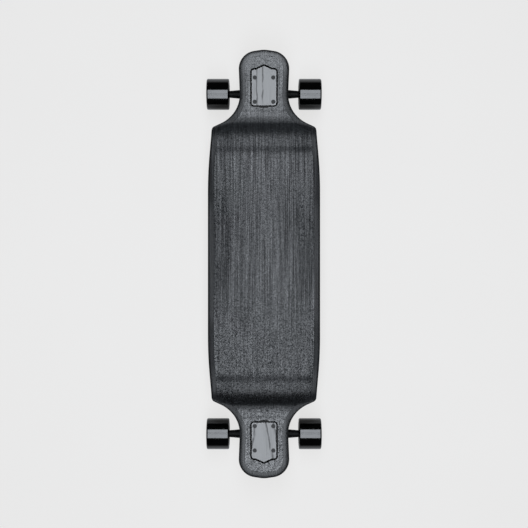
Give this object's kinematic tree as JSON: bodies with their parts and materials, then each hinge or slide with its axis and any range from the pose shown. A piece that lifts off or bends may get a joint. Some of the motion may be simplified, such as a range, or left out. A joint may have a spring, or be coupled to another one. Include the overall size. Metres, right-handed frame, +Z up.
{
  "type": "longboard skateboard",
  "caption": "Double-drop longboard with drop-through reverse-kingpin trucks that lean against bushings and wheels that spin on ball bearings.",
  "frame": {"origin": "on the floor, under the middle of the board", "axes": "+X towards the nose, +Y to the rider's left when facing the nose, +Z up"},
  "size_m": [0.9524, 0.26, 0.0975],
  "materials": {
    "stained_wood": "black stained laminate, clear sealed",
    "grit": "clear speckled grit over dark wood",
    "plate": "satin, grain-like streaks",
    "truck_casting": "black powder coat",
    "steel": "zinc plated",
    "dark_steel": "black oxide",
    "bearing_steel": "ground and polished",
    "shield": "black seal",
    "retainer": "moulded",
    "urethane_dark": "satin urethane",
    "tyre": "gloss black urethane",
    "core": "moulded"
  },
  "bodies": {
    "board": {"deck": "stained_wood", "grip_sheet": "grit", "front_cover_plate": "plate", "front_baseplate": "truck_casting", "front_pivot_cup": "urethane_dark", "front_kingpin": "steel", "front_kingpin_nut": "steel", "front_board_bushing": "urethane_dark", "front_road_bushing": "urethane_dark", "front_bushing_washers": "steel", "front_mounting_bolts": "dark_steel", "front_mounting_nuts": "dark_steel", "rear_cover_plate": "plate", "rear_baseplate": "truck_casting", "rear_pivot_cup": "urethane_dark", "rear_kingpin": "steel", "rear_kingpin_nut": "steel", "rear_board_bushing": "urethane_dark", "rear_road_bushing": "urethane_dark", "rear_bushing_washers": "steel", "rear_mounting_bolts": "dark_steel", "rear_mounting_nuts": "dark_steel"},
    "front_axle_set": {"front_hanger": "truck_casting", "front_axle": "steel", "front_axle_nuts": "steel", "front_speed_rings": "steel", "front_bearing_inner_rings": "bearing_steel", "front_bearing_spacers": "steel"},
    "front_left_wheel": {"front_left_tyre": "tyre", "front_left_core": "core", "front_left_bearing_outer_rings": "bearing_steel", "front_left_bearing_shields": "shield"},
    "front_left_ball_train": {"front_left_bearing_balls": "bearing_steel", "front_left_ball_retainers": "retainer"},
    "front_right_wheel": {"front_right_tyre": "tyre", "front_right_core": "core", "front_right_bearing_outer_rings": "bearing_steel", "front_right_bearing_shields": "shield"},
    "front_right_ball_train": {"front_right_bearing_balls": "bearing_steel", "front_right_ball_retainers": "retainer"},
    "rear_axle_set": {"rear_hanger": "truck_casting", "rear_axle": "steel", "rear_axle_nuts": "steel", "rear_speed_rings": "steel", "rear_bearing_inner_rings": "bearing_steel", "rear_bearing_spacers": "steel"},
    "rear_left_wheel": {"rear_left_tyre": "tyre", "rear_left_core": "core", "rear_left_bearing_outer_rings": "bearing_steel", "rear_left_bearing_shields": "shield"},
    "rear_left_ball_train": {"rear_left_bearing_balls": "bearing_steel", "rear_left_ball_retainers": "retainer"},
    "rear_right_wheel": {"rear_right_tyre": "tyre", "rear_right_core": "core", "rear_right_bearing_outer_rings": "bearing_steel", "rear_right_bearing_shields": "shield"},
    "rear_right_ball_train": {"rear_right_bearing_balls": "bearing_steel", "rear_right_ball_retainers": "retainer"}
  },
  "joints": [
    {"name": "front_lean", "type": "hinge", "parent": "board", "child": "front_axle_set", "pos_m": [0.38124, 0, 0.04066], "axis": [0.7071, 0, 0.7071], "range_deg": [-15, 15], "stiffness_Nm_per_rad": 120, "deforming": ["front_board_bushing", "front_road_bushing"]},
    {"name": "front_left_spin", "type": "hinge", "parent": "front_axle_set", "child": "front_left_wheel", "pos_m": [0.3869, 0.103, 0.035], "axis": [0, 1, 0], "continuous": true},
    {"name": "front_left_ball_roll", "type": "hinge", "parent": "front_axle_set", "child": "front_left_ball_train", "pos_m": [0.3869, 0.103, 0.035], "axis": [0, 1, 0], "continuous": true},
    {"name": "front_right_spin", "type": "hinge", "parent": "front_axle_set", "child": "front_right_wheel", "pos_m": [0.3869, -0.103, 0.035], "axis": [0, 1, 0], "continuous": true},
    {"name": "front_right_ball_roll", "type": "hinge", "parent": "front_axle_set", "child": "front_right_ball_train", "pos_m": [0.3869, -0.103, 0.035], "axis": [0, 1, 0], "continuous": true},
    {"name": "rear_lean", "type": "hinge", "parent": "board", "child": "rear_axle_set", "pos_m": [-0.38124, 0, 0.04066], "axis": [-0.7071, 0, 0.7071], "range_deg": [-15, 15], "stiffness_Nm_per_rad": 120, "deforming": ["rear_board_bushing", "rear_road_bushing"]},
    {"name": "rear_left_spin", "type": "hinge", "parent": "rear_axle_set", "child": "rear_left_wheel", "pos_m": [-0.3869, 0.103, 0.035], "axis": [0, 1, 0], "continuous": true},
    {"name": "rear_left_ball_roll", "type": "hinge", "parent": "rear_axle_set", "child": "rear_left_ball_train", "pos_m": [-0.3869, 0.103, 0.035], "axis": [0, 1, 0], "continuous": true},
    {"name": "rear_right_spin", "type": "hinge", "parent": "rear_axle_set", "child": "rear_right_wheel", "pos_m": [-0.3869, -0.103, 0.035], "axis": [0, 1, 0], "continuous": true},
    {"name": "rear_right_ball_roll", "type": "hinge", "parent": "rear_axle_set", "child": "rear_right_ball_train", "pos_m": [-0.3869, -0.103, 0.035], "axis": [0, 1, 0], "continuous": true}
  ],
  "couplings": [
    {"joint": "front_left_ball_roll", "follows": "front_left_spin", "ratio": 0.6323},
    {"joint": "front_right_ball_roll", "follows": "front_right_spin", "ratio": 0.6323},
    {"joint": "rear_left_ball_roll", "follows": "rear_left_spin", "ratio": 0.6323},
    {"joint": "rear_right_ball_roll", "follows": "rear_right_spin", "ratio": 0.6323}
  ]
}
